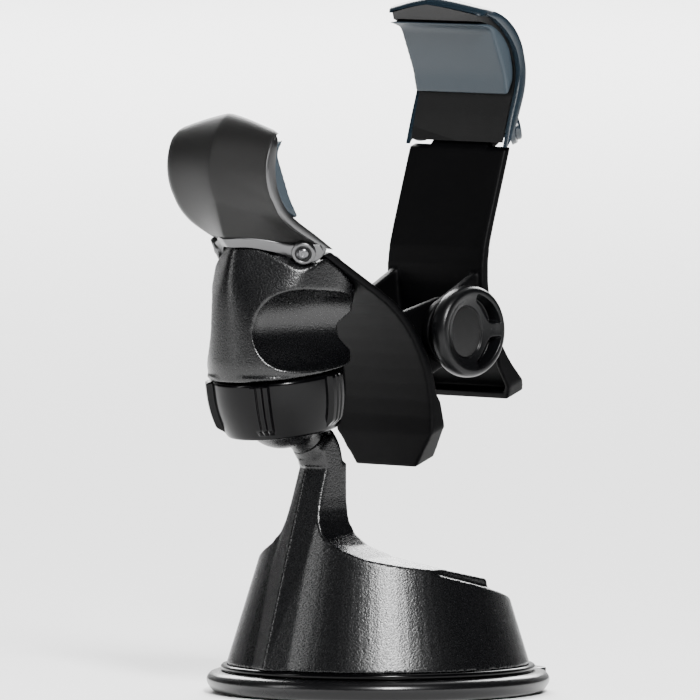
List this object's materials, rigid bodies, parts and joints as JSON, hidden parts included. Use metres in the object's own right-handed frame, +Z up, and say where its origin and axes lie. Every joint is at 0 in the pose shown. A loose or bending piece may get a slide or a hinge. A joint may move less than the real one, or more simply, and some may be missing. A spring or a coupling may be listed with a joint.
{
  "type": "car phone mount",
  "caption": "Suction-base car phone mount: spring-clip cradle with two hinged padded claws and a clamping thumb wheel on a ball joint above a conical base.",
  "frame": {"origin": "centre of the suction cup's flat underside", "axes": "+Z up from the surface it sticks to, +X from the fixed jaw to the moving jaw, Y along the long side of the phone it holds, with the thumb wheel on the -Y side"},
  "size_m": [0.093, 0.071, 0.1435],
  "materials": {
    "cup_rubber": "glossy",
    "gloss_black": "gloss",
    "textured_black": "spark texture",
    "satin_black": "satin",
    "inner_black": "matte",
    "steel": "bright",
    "liner": "smooth",
    "wheel_grey": "satin",
    "insert_brass": "turned",
    "gunmetal": "satin metallic",
    "silver_trim": "satin",
    "pad_rubber": "matte"
  },
  "bodies": {
    "base": {"suction_cup": "cup_rubber", "base_skirt": "gloss_black", "base_plate": "inner_black", "base_screws": "steel", "base_shell": "textured_black", "lever_pin": "steel", "ball_stud": "textured_black"},
    "lever": {"suction_lever": "textured_black"},
    "plunger": {"plunger_rod": "steel", "rod_spring": "steel"},
    "seat": {"ball_seat_pad": "liner"},
    "grip": {"ball_grip_ring": "liner"},
    "head": {"head_housing": "textured_black", "near_jaw_plate": "satin_black", "jaw_screws": "steel", "hinge_axle": "steel", "axle_clip": "steel", "torsion_spring": "steel", "near_claw_pin": "steel"},
    "collar": {"collar_nut": "gloss_black"},
    "near_claw": {"near_claw_shell": "gunmetal", "near_claw_trim": "silver_trim", "near_claw_body": "inner_black", "near_claw_pad": "pad_rubber"},
    "far_jaw": {"far_jaw_plate": "satin_black", "far_claw_pin": "steel"},
    "far_claw": {"far_claw_shell": "gunmetal", "far_claw_trim": "silver_trim", "far_claw_body": "inner_black", "far_claw_pad": "pad_rubber"},
    "wheel": {"thumb_wheel": "wheel_grey", "wheel_insert": "insert_brass"}
  },
  "joints": [
    {"name": "lever_lift", "type": "hinge", "parent": "base", "child": "lever", "pos_m": [-0.00027, 0, 0.02268], "axis": [0, -1, 0], "range_deg": [0, 80]},
    {"name": "rod_press", "type": "slide", "parent": "base", "child": "plunger", "axis": [0, 0, -1], "range_m": [0, 0.0025], "deforming": ["rod_spring"]},
    {"name": "head_tilt", "type": "hinge", "parent": "base", "child": "seat", "pos_m": [-0.0276, 0, 0.0598], "axis": [0, 1, 0], "range_deg": [-74, 2]},
    {"name": "head_roll", "type": "hinge", "parent": "seat", "child": "grip", "pos_m": [-0.0276, 0, 0.0598], "axis": [0.989, 0, 0.1478], "range_deg": [-12, 12]},
    {"name": "head_swivel", "type": "hinge", "parent": "grip", "child": "head", "pos_m": [-0.0276, 0, 0.0598], "axis": [-0.1478, 0, 0.989], "continuous": true},
    {"name": "collar_turn", "type": "hinge", "parent": "head", "child": "collar", "pos_m": [-0.0276, 0, 0.0598], "axis": [-0.1478, 0, 0.989], "range_deg": [0, 180]},
    {"name": "far_jaw_swing", "type": "hinge", "parent": "head", "child": "far_jaw", "pos_m": [0.0086, 0, 0.0748], "axis": [0, 1, 0], "range_deg": [-17, 22], "deforming": ["torsion_spring"]},
    {"name": "wheel_spin", "type": "hinge", "parent": "head", "child": "wheel", "pos_m": [0.0086, -0.018, 0.0748], "axis": [0, 1, 0], "continuous": true},
    {"name": "near_claw_tilt", "type": "hinge", "parent": "head", "child": "near_claw", "pos_m": [-0.03359, 0, 0.09214], "axis": [0, -1, 0], "range_deg": [0, 4]},
    {"name": "far_claw_tilt", "type": "hinge", "parent": "far_jaw", "child": "far_claw", "pos_m": [0.02763, 0, 0.11626], "axis": [0, 1, 0], "range_deg": [0, 4]}
  ],
  "couplings": [
    {"joint": "rod_press", "follows": "lever_lift", "m_per_rad": 0.00179}
  ]
}
